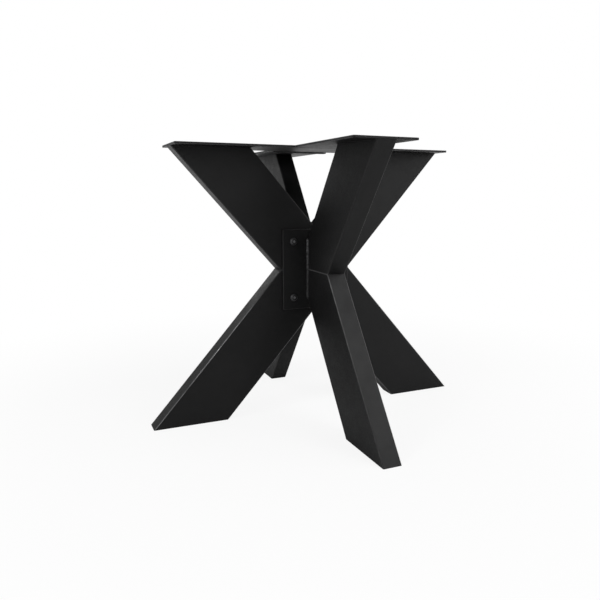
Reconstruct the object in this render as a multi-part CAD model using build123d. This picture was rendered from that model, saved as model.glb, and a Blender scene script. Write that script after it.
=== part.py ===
# Crossed steel table base: a main frame shaped like an X, a half frame bolted to its front and one to its
# back, and a flat cross of strips that carries the table top.
# Millimetres, Z up. The origin is on the floor under the crossing. The main frame lies along X.
from build123d import *
from math import acos, atan2, cos, degrees, hypot, sin, tan
import os

# Whole base
height = 720
footprint = 920
crossing_height = 403
half_frame_waist = 157

# Rectangular tube
tube_width = 150
tube_depth = 50
tube_wall = 2
tube_inner_radius = 1

# Plates that close the tubes at the floor
foot_plate_thickness = 3
foot_plate_clearance = 0.3
foot_plate_chamfer = 1.2

# Flat strips under the table top
strip_width = 160
strip_thickness = 5
strip_corner_radius = 5
strip_edge_chamfer = 0.5
strip_joint_gap = 0.5
screw_hole_diameter = 9
screw_end_margin = 30

# Flange plates of the half frames and their welds
flange_thickness = 8
flange_side_margin = 30
flange_end_margin = 32
flange_edge_chamfer = 0.8
weld_leg = 5
weld_bulge = 0.6
weld_end_margin = 3

# Bolts, which sit on the middle lines of the main frame's tubes, and their sleeves
bolt_distance = 101
bolt_diameter = 12
bolt_tip_gap = 3
bolt_hole_clearance = 1
bolt_head_diameter = 21
bolt_head_height = 6.6
bolt_crown_diameter = 11.5
bolt_shoulder_diameter = 17.8
bolt_shoulder_height = 3.5
socket_width = 8
socket_depth = 4.2
thread_clearance = 0.3
sleeve_diameter = 20
sleeve_seat_clearance = 0.1

# Sizes that follow
floor_reach = footprint / 2
strip_underside = height - strip_thickness
arm_rise = strip_underside - crossing_height
tube_outer_radius = tube_inner_radius + tube_wall
flange_face = tube_depth / 2 + flange_thickness

# Leans from the vertical that put each leg's outer corner on the footprint
main_lean = acos(tube_width / 2 / hypot(floor_reach, crossing_height)) - atan2(crossing_height, floor_reach)
half_lean = atan2(floor_reach - half_frame_waist, crossing_height)

main_waist = tube_width / 2 / cos(main_lean)
half_middle = half_frame_waist - tube_width / 2 / cos(half_lean)
main_top_reach = main_waist + arm_rise * tan(main_lean)
half_top_reach = half_frame_waist + arm_rise * tan(half_lean)
half_cut_height = 2 * (flange_face - half_frame_waist + tube_width / cos(half_lean)) / tan(half_lean)

bolt_side = bolt_distance * sin(main_lean)
bolt_rise = bolt_distance * cos(main_lean)
bolt_levels = (crossing_height - bolt_rise, crossing_height + bolt_rise)
bolt_points = [(side, level) for side in (-bolt_side, bolt_side) for level in bolt_levels]
flange_width = 2 * (bolt_side + flange_side_margin)
flange_height = 2 * (bolt_rise + flange_end_margin)


# Every piece is made as if its half of the base pointed along +X, and then turned to its own side.
def turned(shape, angle):
    return Rot(0, 0, angle) * shape


def band(inner, low, high):
    # Room outwards of an upright plane, between two heights
    room = Box(footprint, footprint, high - low, align=(Align.MIN, Align.CENTER, Align.MIN))
    return Pos(inner, 0, low) * room


def leaning_bar(section, middle, lean, rise):
    # Long bar through the crossing height at middle, leaning outwards, up for rise 1 and down for -1
    along = (sin(lean), 0, rise * cos(lean))
    plane = Plane(origin=(middle, 0, crossing_height), x_dir=(0, 1, 0), z_dir=along)
    return extrude(plane * section, amount=height + tube_width, both=True)


def tube_section():
    inside = RectangleRounded(tube_depth - 2 * tube_wall, tube_width - 2 * tube_wall, tube_inner_radius)
    return RectangleRounded(tube_depth, tube_width, tube_outer_radius) - inside


def arm(middle, lean, inner):
    return leaning_bar(tube_section(), middle, lean, 1) & band(inner, crossing_height, strip_underside)


def leg(middle, lean, inner):
    return leaning_bar(tube_section(), middle, lean, -1) & band(inner, 0, crossing_height)


def sleeve_seats(tube):
    # Holes through both walls of a main tube for the sleeve on its middle line
    hole = Cylinder(sleeve_diameter / 2 + sleeve_seat_clearance, 2 * tube_depth, rotation=(90, 0, 0))
    for side, level in bolt_points:
        tube = tube - Pos(side, 0, level) * hole
    return tube


def foot_plate(middle, lean):
    inset = tube_wall + foot_plate_clearance
    section = Rectangle(tube_depth - 2 * inset, tube_width - 2 * inset)
    section = chamfer(section.vertices(), foot_plate_chamfer)
    return leaning_bar(section, middle, lean, -1) & band(0, 0, foot_plate_thickness)


def strip(outline, screw_rows):
    # Flat strip with broken rims and a screw hole at each side of every row
    plate = extrude(Pos(0, 0, strip_underside) * outline, amount=strip_thickness)
    rims = plate.edges().group_by(Axis.Z)[0] + plate.edges().group_by(Axis.Z)[-1]
    plate = chamfer(rims, strip_edge_chamfer)
    hole = Cylinder(screw_hole_diameter / 2, 3 * strip_thickness)
    hole_side = (tube_depth + strip_width) / 4
    for row in screw_rows:
        for side in (-hole_side, hole_side):
            plate = plate - Pos(row, side, strip_underside) * hole
    return plate


def main_strip():
    row = main_top_reach - screw_end_margin
    outline = RectangleRounded(2 * main_top_reach, strip_width, strip_corner_radius)
    return strip(outline, (-row, row))


def half_strip():
    # Butts against the main strip with its square end
    start = strip_width / 2 + strip_joint_gap
    outline = Pos((start + half_top_reach) / 2, 0) * Rectangle(half_top_reach - start, strip_width)
    outline = fillet(outline.vertices().group_by(Axis.X)[-1], strip_corner_radius)
    return strip(outline, (half_top_reach - screw_end_margin,))


def flange():
    plane = Plane(origin=(tube_depth / 2, 0, crossing_height), x_dir=(0, 1, 0), z_dir=(1, 0, 0))
    plate = extrude(plane * Rectangle(flange_width, flange_height), amount=flange_thickness)
    plate = chamfer(plate.edges().group_by(Axis.X)[-1], flange_edge_chamfer)
    hole = Cylinder((bolt_diameter + bolt_hole_clearance) / 2, 3 * flange_thickness, rotation=(0, 90, 0))
    for side, level in bolt_points:
        plate = plate - Pos(flange_face, side, level) * hole
    return plate


def weld_beads():
    # Two upright fillet welds in the corners between the half frame's sides and its flange
    run = half_cut_height - 2 * weld_end_margin
    corner = (flange_face, tube_depth / 2)
    on_tube = (flange_face + weld_leg, tube_depth / 2)
    on_flange = (flange_face, tube_depth / 2 + weld_leg)
    bulge = SagittaArc(on_tube, on_flange, -weld_bulge)
    outline = make_face([Line(on_flange, corner), Line(corner, on_tube), bulge])
    bead = extrude(Pos(0, 0, crossing_height - run / 2) * outline, amount=run)
    return [bead, mirror(bead, about=Plane.XZ)]


def bolt():
    # Button head and shank, upright, with the underside of the head at zero
    shank = flange_thickness + tube_depth / 2 - bolt_tip_gap
    rim = (bolt_head_diameter / 2, 0)
    shoulder = (bolt_shoulder_diameter / 2, bolt_shoulder_height)
    crown = (bolt_crown_diameter / 2, bolt_head_height)
    middle = [(0, bolt_head_height), (0, -shank)]
    stem = [(bolt_diameter / 2, -shank), (bolt_diameter / 2, 0)]
    body = revolve(Plane.XZ * make_face(Polyline(crown, *middle, *stem, rim, shoulder, crown)), Axis.Z)
    hexagon = RegularPolygon(socket_width / 2, 6, major_radius=False)
    return body - extrude(Pos(0, 0, bolt_head_height - socket_depth) * hexagon, amount=2 * socket_depth)


def bolts():
    places = [Plane(origin=(flange_face, side, level), z_dir=(1, 0, 0)) for side, level in bolt_points]
    return [place.location * bolt() for place in places]


def sleeves():
    outline = Circle(sleeve_diameter / 2) - Circle(bolt_diameter / 2 + thread_clearance)
    tube = extrude(Plane.XZ * outline, amount=tube_depth / 2, both=True)
    return [Pos(side, 0, level) * tube for side, level in bolt_points]


pieces = {}

for name, angle in (("right", 0), ("left", 180)):
    pieces["main_arm_" + name] = turned(sleeve_seats(arm(0, main_lean, 0)), angle)
    pieces["main_leg_" + name] = turned(sleeve_seats(leg(0, main_lean, 0)), angle)
    pieces["foot_plate_" + name] = turned(foot_plate(0, main_lean), angle)

for name, angle in (("front", -90), ("back", 90)):
    pieces[name + "_arm"] = turned(arm(half_middle, half_lean, flange_face), angle)
    pieces[name + "_leg"] = turned(leg(half_middle, half_lean, flange_face), angle)
    pieces["foot_plate_" + name] = turned(foot_plate(half_middle, half_lean), angle)
    pieces[name + "_top_strip"] = turned(half_strip(), angle)
    pieces[name + "_flange"] = turned(flange(), angle)
    pieces[name + "_weld_beads"] = turned(Compound(weld_beads()), angle)
    pieces[name + "_bolts"] = turned(Compound(bolts()), angle)

pieces["main_top_strip"] = main_strip()
pieces["threaded_sleeves"] = Compound(sleeves())

os.makedirs("parts", exist_ok=True)
for name, piece in pieces.items():
    export_step(piece, "parts/" + name + ".step")

print("main frame leans", round(degrees(main_lean), 2), "degrees")
print("half frames lean", round(degrees(half_lean), 2), "degrees")
print("top reach", round(main_top_reach, 1), "and", round(half_top_reach, 1), "mm")
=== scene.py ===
import math
import random

import bmesh
import bpy
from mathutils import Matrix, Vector


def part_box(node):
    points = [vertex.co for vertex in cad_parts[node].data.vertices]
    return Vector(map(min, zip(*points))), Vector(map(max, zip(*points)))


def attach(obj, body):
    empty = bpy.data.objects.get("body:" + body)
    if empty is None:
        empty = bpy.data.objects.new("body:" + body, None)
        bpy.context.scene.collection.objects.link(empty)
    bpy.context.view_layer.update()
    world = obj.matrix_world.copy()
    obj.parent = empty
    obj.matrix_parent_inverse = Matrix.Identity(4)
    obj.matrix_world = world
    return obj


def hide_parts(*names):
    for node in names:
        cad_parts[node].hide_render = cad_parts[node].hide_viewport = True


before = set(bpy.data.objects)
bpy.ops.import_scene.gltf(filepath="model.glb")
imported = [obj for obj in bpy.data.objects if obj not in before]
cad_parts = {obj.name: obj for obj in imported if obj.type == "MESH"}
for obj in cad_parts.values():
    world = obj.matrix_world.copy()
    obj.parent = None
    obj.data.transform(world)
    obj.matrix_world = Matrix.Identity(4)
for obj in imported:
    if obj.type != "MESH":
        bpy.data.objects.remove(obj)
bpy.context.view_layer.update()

random.seed(7)

# sizes that drive the base, in metres
base = {
    "tubeWidth": 0.150,
    "halfWaist": 0.157,  # how far out the front and back frames reach at the crossing
    "boltDistance": 0.101,  # from the crossing along the middle line of a main tube
}


def boxEdge(node, end, axis):
    # where a CAD node starts or ends along an axis, to a tenth of a millimetre
    low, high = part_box(node)
    corner = high if end == "high" else low
    return round(corner["XYZ".index(axis)], 4)


def boxSize(node, axis):
    low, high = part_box(node)
    place = "XYZ".index(axis)
    return round(high[place] - low[place], 4)


def measureFrame():
    # the sizes that follow from the CAD nodes
    reach = boxEdge("main_leg_right", "high", "X")
    crossing = boxEdge("front_arm", "low", "Z")
    cornerAngle = math.acos(base["tubeWidth"] / 2 / math.hypot(reach, crossing))
    mainLean = cornerAngle - math.atan2(crossing, reach)
    halfLean = math.atan2(reach - base["halfWaist"], crossing)
    base["crossing"] = crossing
    base["mainLean"] = mainLean
    base["halfLean"] = halfLean
    base["halfMiddle"] = base["halfWaist"] - base["tubeWidth"] / 2 / math.cos(halfLean)
    base["tubeDepth"] = boxSize("main_leg_right", "Y")
    base["flangeFace"] = boxEdge("back_flange", "high", "Y")
    base["flangeWidth"] = boxSize("back_flange", "X")
    base["flangeHeight"] = boxSize("back_flange", "Z")
    base["stripWidth"] = boxSize("main_top_strip", "Y")
    base["stripThickness"] = boxSize("main_top_strip", "Z")
    base["stripUnderside"] = boxEdge("main_top_strip", "low", "Z")
    base["stripJoint"] = (base["stripWidth"] / 2 + boxEdge("back_top_strip", "low", "Y")) / 2
    base["boltSide"] = round(base["boltDistance"] * math.sin(mainLean), 4)
    base["boltRise"] = round(base["boltDistance"] * math.cos(mainLean), 4)
    base["weldLow"] = boxEdge("front_weld_beads", "low", "Z")
    base["weldHigh"] = boxEdge("front_weld_beads", "high", "Z")


measureFrame()

# which way a half frame, a side and a level lie
outward = {"front": -1, "back": 1}
sideways = {"Left": -1, "Right": 1}
upward = {"Lower": -1, "Upper": 1}


# camera at the photograph's angle

camera = {
    "place": (-0.668496, -1.516934, 0.607236),
    "turn": (75.959, -0.119, -23.994),  # degrees
    "lens": 35.61,
    "sensor": 36,
    "shift": (-0.0230, 0.0672),
    "clip": (0.05, 60),
}


def addCamera():
    turn = [math.radians(angle) for angle in camera["turn"]]
    bpy.ops.object.camera_add(location=camera["place"], rotation=turn)
    made = bpy.context.object
    made.data.lens = camera["lens"]
    made.data.sensor_width = camera["sensor"]
    made.data.shift_x, made.data.shift_y = camera["shift"]
    made.data.clip_start, made.data.clip_end = camera["clip"]
    bpy.context.scene.camera = made


addCamera()
print("camera placed")


# shader maths

class Wire:
    # one socket of a material, which sums are written with and new nodes are hung on
    def __init__(self, tree, socket=None):
        self.tree = tree
        self.socket = socket

    def node(self, kind, settings=None, values=None, output=0):
        made = self.tree.nodes.new(kind)
        for name, value in (settings or {}).items():
            setattr(made, name, value)
        for name, value in (values or {}).items():
            if isinstance(value, Wire):
                self.tree.links.new(value.socket, made.inputs[name])
            else:
                made.inputs[name].default_value = value
        return Wire(self.tree, made.outputs[output])

    def other(self, output):
        return Wire(self.tree, self.socket.node.outputs[output])

    def math(self, operation, *values):
        return self.node("ShaderNodeMath", {"operation": operation}, dict(enumerate(values)))

    def __add__(self, value):
        return self.math("ADD", self, value)

    __radd__ = __add__

    def __sub__(self, value):
        return self.math("SUBTRACT", self, value)

    def __rsub__(self, value):
        return self.math("SUBTRACT", value, self)

    def __mul__(self, value):
        return self.math("MULTIPLY", self, value)

    __rmul__ = __mul__

    def __abs__(self):
        return self.math("ABSOLUTE", self)

    def root(self):
        return self.math("SQRT", self)

    def larger(self, value):
        return self.math("MAXIMUM", self, value)

    def fade(self, start, end):
        # 0 up to start, 1 from end on, soft between
        return self.node("ShaderNodeMapRange", {"interpolation_type": "SMOOTHSTEP"},
                         {"Value": self, "From Min": start, "From Max": end})

    def nearing(self, edge, band):
        # 0 up to the band's first distance short of an edge, 1 from its second
        return self.fade(edge - band[0], edge - band[1])

    def axes(self):
        apart = self.node("ShaderNodeSeparateXYZ", {}, {0: self})
        return apart, apart.other("Y"), apart.other("Z")

    def noise(self, size, detail, seed):
        # spots about this wide, around 0.5, and each use has its own seed
        return self.node("ShaderNodeTexNoise", {"noise_dimensions": "4D"},
                         {"Vector": self, "W": seed, "Scale": 1 / size, "Detail": detail})

    def streaks(self, scale, detail, seed):
        # noise drawn out along the axes with a small scale
        return self.node("ShaderNodeMapping", {}, {"Vector": self, "Scale": scale}).noise(1.0, detail, seed)

    def blended(self, first, second):
        # colour that goes from first to second with this mask
        return self.node("ShaderNodeMix", {"data_type": "RGBA"}, {0: self, 6: first, 7: second}, 2)

    def feed(self, node, name):
        self.tree.links.new(self.socket, node.inputs[name])

    def raised(self, shader, distance):
        # relief of this height on a shader
        self.node("ShaderNodeBump", {}, {"Height": self, "Distance": distance}).feed(shader, "Normal")


def newMaterial(name):
    material = bpy.data.materials.new(name)
    material.use_nodes = True
    tree = material.node_tree
    return material, tree.nodes["Principled BSDF"], Wire(tree).node("ShaderNodeTexCoord", output="Object")


# powder coat on the steel

coat = {
    "colour": (0.0046, 0.0046, 0.0048, 1),
    "paleColour": (0.0072, 0.0072, 0.0075, 1),  # in clouds and specks
    "wearAndHighlightColour": (0.340, 0.340, 0.343, 1),  # on worn edges and ground seams, and as painted highlight on the tube corners
    "wearAndHighlightMetal": 0.95,
    "gloss": 0.20,
    "roughness": 0.42,
    "rougher": {"cloud": 0.05, "patch": 0.06, "wornAndHighlight": -0.20, "grain": 0.10, "speck": 0.34, "streak": 0.06},
    "size": {"cloud": 0.13, "patch": 0.026, "speck": 0.0042, "grain": 0.0012, "peel": 0.006, "seam": 0.004},
    "height": {"grain": 0.012, "peel": 0.070, "streak": 0.03, "seam": 0.25},  # millimetres
    "heightUnit": 0.001,
    "cloudEdges": (0.35, 0.68),  # the noise that is no cloud yet, and full cloud
    "patchEdges": (0.3, 0.75),
    "paleness": {"cloud": 0.7, "speck": 1.6},
    "palenessEdges": (-0.3, 1.0),
    "evenWearAndHighlight": 0.45,  # the share of the wear and painted highlight that is there between the patches too
    "seamWear": 0.17,
    "evenSeam": 0.6,  # the share of a seam's height that doesn't vary
}


def coated(name, marks):
    # marks gives the masks of thin coat (on tube corners also painted highlight), raised seams and long
    # streaks from a place on the piece
    material, shader, place = newMaterial(name)
    size, rougher, relief = coat["size"], coat["rougher"], coat["height"]
    edgeWearAndHighlight, seam, streak = marks(place, *place.axes())
    cloud = place.noise(size["cloud"], 3, 0.0).fade(*coat["cloudEdges"])
    patch = place.noise(size["patch"], 4, 3.1).fade(*coat["patchEdges"])
    grain = place.noise(size["grain"], 1, 5.7)
    peel = place.noise(size["peel"], 2, 9.3)
    speck = place.noise(size["speck"], 2, 7.2)
    seamGrain = place.noise(size["seam"], 1, 2.2)
    # pale metal on worn coat, and on the tube corners painted highlight
    wornAndHighlight = edgeWearAndHighlight * (coat["evenWearAndHighlight"] + (1 - coat["evenWearAndHighlight"]) * patch)
    wornAndHighlight = wornAndHighlight.larger(seam * coat["seamWear"])
    pale = coat["paleness"]["cloud"] * cloud + coat["paleness"]["speck"] * (speck - 0.5)
    tone = pale.fade(*coat["palenessEdges"]).blended(coat["colour"], coat["paleColour"])
    wornAndHighlight.blended(tone, coat["wearAndHighlightColour"]).feed(shader, "Base Color")
    (wornAndHighlight * coat["wearAndHighlightMetal"]).feed(shader, "Metallic")
    rough = coat["roughness"] + rougher["cloud"] * cloud + rougher["patch"] * patch + rougher["wornAndHighlight"] * wornAndHighlight
    rough = rough + rougher["grain"] * (grain - 0.5) + rougher["speck"] * (speck - 0.5)
    (rough + rougher["streak"] * streak).feed(shader, "Roughness")
    shader.inputs["Specular IOR Level"].default_value = coat["gloss"]
    seamHeight = relief["seam"] * (seam * (coat["evenSeam"] + (1 - coat["evenSeam"]) * seamGrain))
    height = relief["grain"] * grain + relief["peel"] * peel + relief["streak"] * streak + seamHeight
    height.raised(shader, coat["heightUnit"])
    return material


tube = {
    "cornerBand": (0.0032, 0.0006),  # how far from a corner its wear and painted highlight start, and where they are full
    "seamHalf": (0.0006, 0.0021),  # from the middle of a mitre's seam to where it fades and ends
    "streakAcross": 260,
    "streakAlong": 5,
}

# how much worn coat and painted highlight a tube's corners carry at its foot, up its leg and on its arm,
# and the heights where that changes; the brighter leg corners are painted highlight
mainCornerWearAndHighlight = {"foot": 0.40, "leg": 0.73, "arm": 0.09, "rising": (0.10, 0.22), "falling": (0.25, 0.36)}
halfCornerWearAndHighlight = {"foot": 0.14, "leg": 0.38, "arm": 0.04, "rising": (0.08, 0.36), "falling": (0.393, 0.413)}


def tubeMarks(lean, middle, along, cornerWearAndHighlight):
    # masks of a leaning tube: its four rounded corners, worn and painted with highlight, and its mitred
    # seam
    def marks(place, x, y, z):
        out, side = (x, y) if along == "x" else (y, x)
        rise = abs(z - base["crossing"])
        across = (abs(out) - middle) * math.cos(lean) - rise * math.sin(lean)
        nearWide = abs(across).nearing(base["tubeWidth"] / 2, tube["cornerBand"])
        nearSide = abs(side).nearing(base["tubeDepth"] / 2, tube["cornerBand"])
        share = cornerWearAndHighlight["foot"] + (cornerWearAndHighlight["leg"] - cornerWearAndHighlight["foot"]) * z.fade(*cornerWearAndHighlight["rising"])
        share = share - (cornerWearAndHighlight["leg"] - cornerWearAndHighlight["arm"]) * z.fade(*cornerWearAndHighlight["falling"])
        seam = 1 - rise.fade(*tube["seamHalf"])
        if middle == 0:
            seam = seam.larger(1 - abs(out).fade(*tube["seamHalf"]))
        scale = tube["streakAcross"]
        turned = {0: across * scale, 1: side * scale, 2: rise * tube["streakAlong"]}
        streak = place.node("ShaderNodeCombineXYZ", {}, turned).noise(1.0, 2, 4.4)
        return nearWide * nearSide * share, seam * (1 - nearWide), streak
    return marks


strip = {
    "rimWear": 0.28,
    "rimBand": (0.0008, 0.0003),  # how far from a rim its wear starts, and where it is full
    "rimLevels": (0.0017, 0.0021),  # from the middle of its thickness
    "jointWear": 0.4,  # where two strips meet and are ground flush on top
    "jointHalf": (0.0012, 0.0035),
    "jointEnds": (0.0020, 0.0),
    "jointLevels": (0.0030, 0.0045),  # above the underside
    "streakAcross": 320,
    "streakAlong": 7,
}


def stripMarks(along):
    # masks of a flat strip: its broken rims, the ground joint on its top, and rolled streaks along it
    def marks(place, x, y, z):
        side = y if along == "x" else x
        half = base["stripWidth"] / 2
        above = z - base["stripUnderside"]
        rim = abs(side).nearing(half, strip["rimBand"])
        rim = rim * abs(above - base["stripThickness"] / 2).fade(*strip["rimLevels"])
        ground = 1 - abs(abs(y) - base["stripJoint"]).fade(*strip["jointHalf"])
        ground = ground * (1 - abs(x).nearing(half, strip["jointEnds"])) * above.fade(*strip["jointLevels"])
        scale = [strip["streakAcross"]] * 3
        scale[0 if along == "x" else 1] = strip["streakAlong"]
        return strip["rimWear"] * rim, strip["jointWear"] * ground, place.streaks(scale, 3, 6.6)
    return marks


flange = {
    "rimWear": 0.11,
    "sideBand": (0.0012, 0.0005),  # how far from an edge its wear starts, and where it is full
    "faceBand": (0.0009, 0.0005),
    "streaks": (300, 300, 8),
}


def flangeMarks(place, x, y, z):
    # masks of a flange: the broken edges of its face
    side = abs(x).nearing(base["flangeWidth"] / 2, flange["sideBand"])
    level = abs(z - base["crossing"]).nearing(base["flangeHeight"] / 2, flange["sideBand"])
    rim = side.larger(level) * abs(y).nearing(base["flangeFace"], flange["faceBand"])
    return flange["rimWear"] * rim, 0, place.streaks(flange["streaks"], 2, 1.6)


foot = {"scuffWear": 0.5, "scuffSize": 0.009, "scuffEdges": (0.52, 0.75), "smearSize": 0.02}


def footMarks(place, x, y, z):
    # masks of a foot plate: only scuffs from the floor
    scuff = place.noise(foot["scuffSize"], 3, 8.2).fade(*foot["scuffEdges"])
    return foot["scuffWear"] * scuff, 0, place.noise(foot["smearSize"], 2, 1.1)


mainTubeMarks = tubeMarks(base["mainLean"], 0, "x", mainCornerWearAndHighlight)
halfTubeMarks = tubeMarks(base["halfLean"], base["halfMiddle"], "y", halfCornerWearAndHighlight)
mainTubeCoat = coated("powderCoatOnMainTubes", mainTubeMarks)
halfTubeCoat = coated("powderCoatOnHalfTubes", halfTubeMarks)
mainStripCoat = coated("powderCoatOnMainStrip", stripMarks("x"))
halfStripCoat = coated("powderCoatOnHalfStrips", stripMarks("y"))
flangeCoat = coated("powderCoatOnFlanges", flangeMarks)
footCoat = coated("powderCoatOnFeet", footMarks)


weldFinish = {
    "colour": (0.006, 0.006, 0.0063, 1),
    "paleColour": (0.052, 0.052, 0.054, 1),
    "patchSize": 0.009,
    "patchEdges": (0.34, 0.66),
    "lowPaleness": 0.2,  # share of the pale patches on the lower half
    "lowToHigh": (0.36, 0.44),
    "gloss": 0.35,
    "roughness": 0.44,
    "rougher": 0.14,
    "roughSize": 0.003,
    "grainSize": 0.0012,
    "grainHeight": 0.00006,
}


def makeWeldCoat():
    # glossier coat that runs thin in patches, mostly on the upper half
    material, shader, place = newMaterial("powderCoatOnWelds")
    patch = place.noise(weldFinish["patchSize"], 4, 2.5).fade(*weldFinish["patchEdges"])
    high = place.axes()[2].fade(*weldFinish["lowToHigh"])
    pale = patch * (weldFinish["lowPaleness"] + (1 - weldFinish["lowPaleness"]) * high)
    pale.blended(weldFinish["colour"], weldFinish["paleColour"]).feed(shader, "Base Color")
    rough = place.noise(weldFinish["roughSize"], 2, 7.7)
    (weldFinish["roughness"] + weldFinish["rougher"] * rough).feed(shader, "Roughness")
    shader.inputs["Specular IOR Level"].default_value = weldFinish["gloss"]
    place.noise(weldFinish["grainSize"], 2, 3.3).raised(shader, weldFinish["grainHeight"])
    return material


boltFinish = {
    "dark": (0.012, 0.012, 0.0125, 1),
    # lighter rubbed ring round the head, also painted highlight on the dome
    "bright": (0.042, 0.042, 0.044, 1),
    # pale socket, painted light in the hexagon
    "socket": (0.17, 0.17, 0.175, 1),
    "ringFrom": (0.0060, 0.0070),  # distances from the bolt's middle line
    "ringTo": (0.0094, 0.0103),
    "socketTo": (0.0034, 0.0042),
    "evenRub": 0.6,
    "rubSize": 0.0025,
    "rubEdges": (0.3, 0.7),
    "metal": 0.35,
    "roughness": 0.46,
    "rougher": 0.18,
    "roughSize": 0.0012,
    "grainSize": 0.0006,
    "grainHeight": 0.00003,
}


def makeBoltSteel():
    # blackened steel, rubbed bright round the head by tools and hands and lighter there as painted
    # highlight, with a pale socket of painted light
    material, shader, place = newMaterial("blackenedSteelOnBolts")
    x, _, z = place.axes()
    aside = abs(x) - base["boltSide"]
    above = abs(z - base["crossing"]) - base["boltRise"]
    radius = (aside * aside + above * above).root()
    rim = radius.fade(*boltFinish["ringFrom"]) - radius.fade(*boltFinish["ringTo"])
    rub = place.noise(boltFinish["rubSize"], 3, 1.9).fade(*boltFinish["rubEdges"])
    # the ring is rubbed steel and painted highlight
    wornAndHighlight = rim * (boltFinish["evenRub"] + (1 - boltFinish["evenRub"]) * rub)
    # the socket's pale colour is painted light
    socket = 1 - radius.fade(*boltFinish["socketTo"])
    tone = wornAndHighlight.blended(boltFinish["dark"], boltFinish["bright"])
    socket.blended(tone, boltFinish["socket"]).feed(shader, "Base Color")
    rough = place.noise(boltFinish["roughSize"], 2, 6.1)
    (boltFinish["roughness"] + boltFinish["rougher"] * rough).feed(shader, "Roughness")
    shader.inputs["Metallic"].default_value = boltFinish["metal"]
    place.noise(boltFinish["grainSize"], 2, 4.0).raised(shader, boltFinish["grainHeight"])
    return material


sleeveFinish = {
    "dark": (0.30, 0.30, 0.31, 1),
    "bright": (0.46, 0.46, 0.47, 1),
    "ringScale": (40, 4000, 40),
    "roughness": 0.30,
    "rougher": 0.2,
    "ringHeight": 0.00002,
}


def makeSleeveSteel():
    # turned steel with fine rings round each sleeve
    material, shader, place = newMaterial("turnedSteelOnSleeves")
    rings = place.streaks(sleeveFinish["ringScale"], 2, 2.0)
    rings.blended(sleeveFinish["dark"], sleeveFinish["bright"]).feed(shader, "Base Color")
    (sleeveFinish["roughness"] + sleeveFinish["rougher"] * rings).feed(shader, "Roughness")
    shader.inputs["Metallic"].default_value = 1.0
    rings.raised(shader, sleeveFinish["ringHeight"])
    return material


weldCoat = makeWeldCoat()
boltSteel = makeBoltSteel()
sleeveSteel = makeSleeveSteel()

dressing = [
    (mainTubeCoat, ("main_arm_left", "main_arm_right", "main_leg_left", "main_leg_right")),
    (halfTubeCoat, ("front_arm", "front_leg", "back_arm", "back_leg")),
    (mainStripCoat, ("main_top_strip",)),
    (halfStripCoat, ("front_top_strip", "back_top_strip")),
    (flangeCoat, ("front_flange", "back_flange")),
    (footCoat, ("foot_plate_left", "foot_plate_right", "foot_plate_front", "foot_plate_back")),
    (weldCoat, ("front_weld_beads", "back_weld_beads")),
    (boltSteel, ("front_bolts", "back_bolts")),
    (sleeveSteel, ("threaded_sleeves",)),
]


def dressFrame():
    for material, nodes in dressing:
        for name in nodes:
            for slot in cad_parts[name].material_slots:
                slot.material = material


dressFrame()
print("steel coated")


# small helpers for modelling

def clearSelection():
    if bpy.context.mode != "OBJECT":
        bpy.ops.object.mode_set(mode="OBJECT")
    bpy.ops.object.select_all(action="DESELECT")


def editAll(kind):
    # edit mode with all of the new primitive selected
    bpy.ops.object.mode_set(mode="EDIT")
    bpy.ops.mesh.select_mode(type=kind)
    bpy.ops.mesh.select_all(action="SELECT")


def extrude(x, y, z):
    bpy.ops.mesh.extrude_region_move(TRANSFORM_OT_translate={"value": (x, y, z)})


def resize(size, middle):
    bpy.ops.transform.resize(value=size, center_override=middle)


def keepBehind(place, normal):
    # cuts all of the mesh with a plane, drops what lies in front of it and closes the cut
    bpy.ops.mesh.select_all(action="SELECT")
    bpy.ops.mesh.bisect(plane_co=place, plane_no=normal, use_fill=True, clear_outer=True)


def finishMesh(mergeDistance=None):
    # corners that coincide become one, faces point outwards, and the finished piece is given back
    bpy.ops.mesh.select_all(action="SELECT")
    if mergeDistance:
        bpy.ops.mesh.remove_doubles(threshold=mergeDistance)
    bpy.ops.mesh.normals_make_consistent(inside=False)
    bpy.ops.object.mode_set(mode="OBJECT")
    return bpy.context.object


def copyOf(pattern):
    clearSelection()
    pattern.select_set(True)
    bpy.context.view_layer.objects.active = pattern
    bpy.ops.object.duplicate(linked=False)
    return bpy.context.object


def dressPiece(piece, name, material, node, angle):
    piece.name = name
    piece.data.name = name
    piece.data.materials.clear()
    piece.data.materials.append(material)
    clearSelection()
    piece.select_set(True)
    bpy.context.view_layer.objects.active = piece
    bpy.ops.object.transform_apply(location=True, rotation=True, scale=True)
    bpy.ops.object.shade_smooth_by_angle(angle=math.radians(angle))
    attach(piece, "root")
    if node:
        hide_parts(node)


# button-head bolts

bolt = {
    "baseRadius": 0.0103,
    "rimHeight": 0.0005,
    "ballRadius": 0.01088,  # the head is part of a ball whose middle lies under the flange's face
    "ballSink": 0.00235,
    "shoulderHeight": 0.0063,
    "domeSteps": 6,
    "crown": [(0.00605, 0.00655), (0.00575, 0.0066)],  # radius and height of its rounding and its flat
    "socketWidth": 0.008,
    "socketDepth": 0.0024,
    "socketChamfer": 0.0003,
    "socketNarrowing": 0.965,
    "drillDepth": 0.0006,  # of the cone under the socket
    "drillNarrowing": 0.02,
    "shankRadius": 0.0060,
    "shankLength": 0.030,
    "tipLength": 0.001,
    "tipNarrowing": 0.85,
    "nearZero": 0.00001,
    "mergeDistance": 0.000002,
    "round": 48,
    "smoothAngle": 32,
}


def headRings():
    # radius and height of each ring from the rim to the crown
    rings = []
    for step in range(bolt["domeSteps"] + 1):
        height = bolt["rimHeight"] + (bolt["shoulderHeight"] - bolt["rimHeight"]) * step / bolt["domeSteps"]
        rings.append((math.sqrt(bolt["ballRadius"] ** 2 - (bolt["ballSink"] + height) ** 2), height))
    return rings + bolt["crown"]


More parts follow.
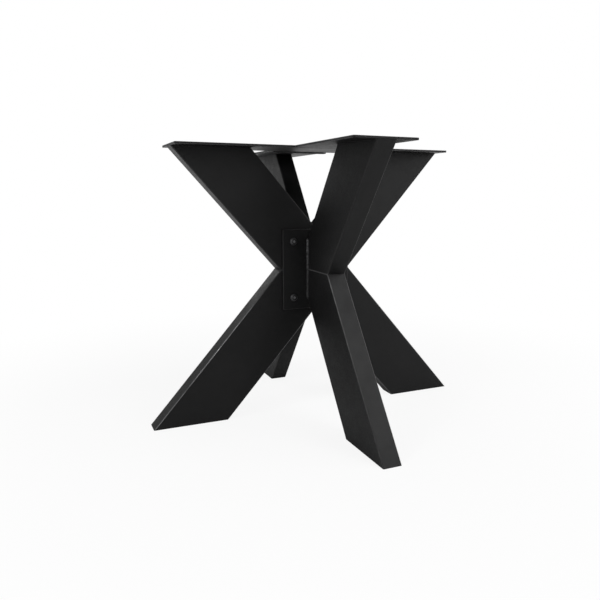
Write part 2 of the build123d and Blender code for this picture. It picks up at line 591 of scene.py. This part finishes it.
def drawInToHexagon(radius):
    # moves the selected ring of that radius onto the outline of the socket
    mesh = bmesh.from_edit_mesh(bpy.context.object.data)
    for corner in mesh.verts:
        if corner.select:
            angle = math.atan2(corner.co.y, corner.co.x) % (math.pi / 3) - math.pi / 6
            size = bolt["socketWidth"] / 2 / math.cos(angle) / radius
            corner.co.x, corner.co.y = corner.co.x * size, corner.co.y * size
    bmesh.update_edit_mesh(bpy.context.object.data)


def selectBaseRing():
    # the open ring at the underside of the head
    mesh = bmesh.from_edit_mesh(bpy.context.object.data)
    bpy.ops.mesh.select_all(action="DESELECT")
    for edge in mesh.edges:
        if all(abs(corner.co.z) < bolt["nearZero"] for corner in edge.verts):
            edge.select_set(True)
    mesh.select_flush_mode()
    bmesh.update_edit_mesh(bpy.context.object.data)


def modelBolt():
    # head up, with the underside of the head at zero
    clearSelection()
    bpy.ops.mesh.primitive_circle_add(vertices=bolt["round"], radius=bolt["baseRadius"],
                                      fill_type="NOTHING")
    editAll("EDGE")
    radius, height = bolt["baseRadius"], 0.0
    for nextRadius, nextHeight in headRings():
        extrude(0, 0, nextHeight - height)
        size = nextRadius / radius
        resize((size, size, 1), (0, 0, nextHeight))
        radius, height = nextRadius, nextHeight
    # flat ring on the crown, and the socket sunk from it
    extrude(0, 0, 0)
    drawInToHexagon(radius)
    extrude(0, 0, -bolt["socketChamfer"])
    resize((bolt["socketNarrowing"], bolt["socketNarrowing"], 1), (0, 0, height))
    extrude(0, 0, bolt["socketChamfer"] - bolt["socketDepth"])
    extrude(0, 0, -bolt["drillDepth"])
    resize((bolt["drillNarrowing"], bolt["drillNarrowing"], 1), (0, 0, height))
    bpy.ops.mesh.merge(type="CENTER")
    # shank with a chamfered tip
    selectBaseRing()
    extrude(0, 0, 0)
    size = bolt["shankRadius"] / bolt["baseRadius"]
    resize((size, size, 1), (0, 0, 0))
    extrude(0, 0, bolt["tipLength"] - bolt["shankLength"])
    extrude(0, 0, -bolt["tipLength"])
    resize((bolt["tipNarrowing"], bolt["tipNarrowing"], 1), (0, 0, 0))
    bpy.ops.mesh.edge_face_add()
    return finishMesh(bolt["mergeDistance"])


def addBolts():
    pattern = modelBolt()
    for half, out in outward.items():
        for sideName, side in sideways.items():
            for levelName, level in upward.items():
                piece = copyOf(pattern)
                piece.rotation_euler = (math.radians(90) * -out, random.uniform(0, math.pi / 3), 0)
                height = base["crossing"] + level * base["boltRise"]
                piece.location = (side * base["boltSide"], out * base["flangeFace"], height)
                name = half + levelName + sideName + "Bolt"
                dressPiece(piece, name, boltSteel, half + "_bolts", bolt["smoothAngle"])
    bpy.data.objects.remove(pattern)


addBolts()
print("bolts made")


# fillet welds between the half frames and their flanges

weld = {
    "leg": 0.0050,
    "rings": 118,
    "wave": (0.93, 1.0, 0.98),  # size of the rings of one ripple
    "fullness": (0.78, 1.10),  # least and most of a ripple
    "firstFullness": 0.55,
    "change": 0.45,  # how far each ring goes towards the fullness of its ripple
    "endSize": 0.6,
    "endGrowth": 0.14,  # for each ring away from an end
    "sink": 0.0002,  # into both plates
    "mergeDistance": 0.000005,
    "round": 20,
    "smoothAngle": 60,
    "runs": [("front", "Right", 0, 3), ("front", "Left", -90, 5),
             ("back", "Left", 180, 8), ("back", "Right", 90, 11)],  # half, side, turn in degrees, seed
}


def modelWeld(seed):
    # bead up the corner at zero, in the quarter between +X and -Y
    pick = random.Random(seed)
    clearSelection()
    radius = weld["leg"] * weld["firstFullness"]
    bpy.ops.mesh.primitive_circle_add(vertices=weld["round"], radius=radius, fill_type="NGON",
                                      location=(0, 0, base["weldLow"]))
    editAll("FACE")
    step = (base["weldHigh"] - base["weldLow"]) / weld["rings"]
    size = fullness = weld["firstFullness"]
    for ring in range(weld["rings"]):
        extrude(0, 0, step)
        place = ring % len(weld["wave"])
        if place == 0:
            goal = pick.uniform(*weld["fullness"])
        fullness = fullness + weld["change"] * (goal - fullness)
        nearEnd = min(ring + 1, weld["rings"] - 1 - ring)
        wanted = weld["wave"][place] * fullness * min(1.0, weld["endSize"] + weld["endGrowth"] * nearEnd)
        resize((wanted / size, wanted / size, 1), (0, 0, base["weldLow"] + (ring + 1) * step))
        size = wanted
    # only the quarter that shows stays
    keepBehind((-weld["sink"], 0, 0), (-1, 0, 0))
    keepBehind((0, weld["sink"], 0), (0, 1, 0))
    return finishMesh(weld["mergeDistance"])


def addWelds():
    for half, sideName, angle, seed in weld["runs"]:
        piece = modelWeld(seed)
        side = sideways[sideName] * base["tubeDepth"] / 2
        piece.rotation_euler = (0, 0, math.radians(angle))
        piece.location = (side, outward[half] * base["flangeFace"], base["weldLow"])
        name = half + sideName + "Weld"
        dressPiece(piece, name, weldCoat, half + "_weld_beads", weld["smoothAngle"])


addWelds()
print("welds laid")


# low beads under the joints of the strips

joint = {
    "endGap": 0.0010,  # short of the strips' long edges
    "radius": 0.0030,
    "endSize": 0.5,
    "fullness": (0.93, 1.0),
    "sink": 0.0013,
    "lift": {"front": 0.0037, "back": 0.0002},  # the front one is ground nearly flush
    "round": 14,
    "steps": 24,
    "seed": 21,
    "smoothAngle": 60,
}


def modelJointBead():
    # rod along X, a little uneven and tapered at its ends, with its top cut off flat
    pick = random.Random(joint["seed"])
    reach = base["stripWidth"] / 2 - joint["endGap"]
    clearSelection()
    radius = joint["radius"] * joint["endSize"]
    bpy.ops.mesh.primitive_circle_add(vertices=joint["round"], radius=radius, fill_type="NGON",
                                      location=(-reach, 0, 0), rotation=(0, math.pi / 2, 0))
    bpy.ops.object.transform_apply(location=True, rotation=True, scale=True)
    editAll("FACE")
    step = 2 * reach / joint["steps"]
    size = joint["endSize"]
    for ring in range(joint["steps"]):
        extrude(step, 0, 0)
        last = ring == joint["steps"] - 1
        wanted = joint["endSize"] if last else pick.uniform(*joint["fullness"])
        resize((1, wanted / size, wanted / size), (-reach + (ring + 1) * step, 0, 0))
        size = wanted
    keepBehind((0, 0, joint["sink"]), (0, 0, 1))
    return finishMesh()


def addJointBeads():
    pattern = modelJointBead()
    for half, out in outward.items():
        piece = copyOf(pattern)
        height = base["stripUnderside"] - joint["sink"] + joint["lift"][half]
        piece.rotation_euler = (0, 0, 0 if out > 0 else math.pi)
        piece.location = (0, out * base["stripJoint"], height)
        dressPiece(piece, half + "JointBead", weldCoat, None, joint["smoothAngle"])
    bpy.data.objects.remove(pattern)


addJointBeads()
print("joint beads laid")


# floor, world and lamps

stage = {
    "floorSize": 14,
    "floorColour": (0.66, 0.66, 0.66, 1),
    "floorFades": (0.40, 1.60),  # distances where the floor starts to turn white, and is white
    "lift": 0.88,  # how white it looks before that
    "glossFloor": 1.0,  # how white a gloss shows the floor far behind
    "floorBehind": (-0.3, 0.6),
    "sky": 0.52,
    "lowSky": (0.04, 0.26),  # heights of the bands that a gloss shows
    "highSky": (0.30, 0.62),
    "skyBehind": (-0.35, 0.35),
    "glossBehind": (0.76, 0.08, 0.50),  # the room behind, low, half-way up and high up
    "glossAhead": (0.9, 0.08, 0.05),  # and the room in front
}


def seenStraight(path):
    # 1 for what the camera sees, straight or in a gloss
    return path.larger(path.other("Is Glossy Ray")).larger(path.other("Is Transmission Ray"))


def addFloor():
    clearSelection()
    bpy.ops.mesh.primitive_grid_add(x_subdivisions=8, y_subdivisions=8, size=stage["floorSize"])
    floor = bpy.context.object
    floor.name = "floor"
    material = bpy.data.materials.new("paleFloor")
    material.use_nodes = True
    tree = material.node_tree
    tree.nodes.remove(tree.nodes["Principled BSDF"])
    place = Wire(tree).node("ShaderNodeTexCoord", output="Object")
    reach = place.node("ShaderNodeVectorMath", {"operation": "LENGTH"}, {0: place}, output="Value")
    away = reach.fade(*stage["floorFades"])
    path = place.node("ShaderNodeLightPath")
    behind = place.axes()[1].fade(*stage["floorBehind"])
    straight = path * (stage["lift"] + (1 - stage["lift"]) * away)
    white = straight + (1 - path) * seenStraight(path) * away * behind * stage["glossFloor"]
    matt = place.node("ShaderNodeBsdfDiffuse", {}, {"Color": stage["floorColour"]})
    plain = place.node("ShaderNodeEmission", {}, {"Color": (1, 1, 1, 1), "Strength": 1.0})
    mixed = place.node("ShaderNodeMixShader", {}, {0: white, 1: matt, 2: plain})
    mixed.feed(tree.nodes["Material Output"], "Surface")
    floor.data.materials.append(material)


def setWorld():
    world = bpy.data.worlds.new("softWhite")
    bpy.context.scene.world = world
    world.use_nodes = True
    background = world.node_tree.nodes["Background"]
    background.inputs["Color"].default_value = (1, 1, 1, 1)
    path = Wire(world.node_tree).node("ShaderNodeLightPath")
    _, y, height = path.node("ShaderNodeTexCoord", output="Generated").axes()
    behind = y.fade(*stage["skyBehind"])
    low = 1 - height.fade(*stage["lowSky"])
    high = height.fade(*stage["highSky"])
    bands = (low, 1 - low - high, high)
    glossy = sum(share * band for share, band in zip(stage["glossBehind"], bands)) * behind
    glossy = glossy + sum(share * band for share, band in zip(stage["glossAhead"], bands)) * (1 - behind)
    seen = seenStraight(path)
    ((1 - seen) * stage["sky"] + path + (seen - path) * glossy).feed(background, "Strength")


lampAim = (0, 0, 0.38)

lamps = {
    "front": {"place": (1.2, -2.4, 1.9), "size": 1.5, "power": 9},
    "low": {"place": (1.9, -2.3, 1.1), "size": 1.2, "power": 9},
    "right": {"place": (3.0, -1.2, 1.6), "size": 1.2, "power": 24},
    "high": {"place": (1.5, -1.9, 2.9), "size": 1.8, "power": 48},
    "left": {"place": (-3.0, -1.0, 2.2), "size": 0.9, "power": 46},
    "back": {"place": (-0.6, 2.8, 1.5), "size": 0.8, "power": 6.6},
}


def addLamps():
    for name, lamp in lamps.items():
        bpy.ops.object.light_add(type="AREA", location=lamp["place"])
        made = bpy.context.object
        made.name = name + "Lamp"
        made.data.energy = lamp["power"]
        made.data.size = lamp["size"]
        aim = Vector(lampAim) - Vector(lamp["place"])
        made.rotation_euler = aim.to_track_quat("-Z", "Y").to_euler()


addFloor()
setWorld()
addLamps()
bpy.context.scene.view_settings.view_transform = "Standard"
print("stage lit")
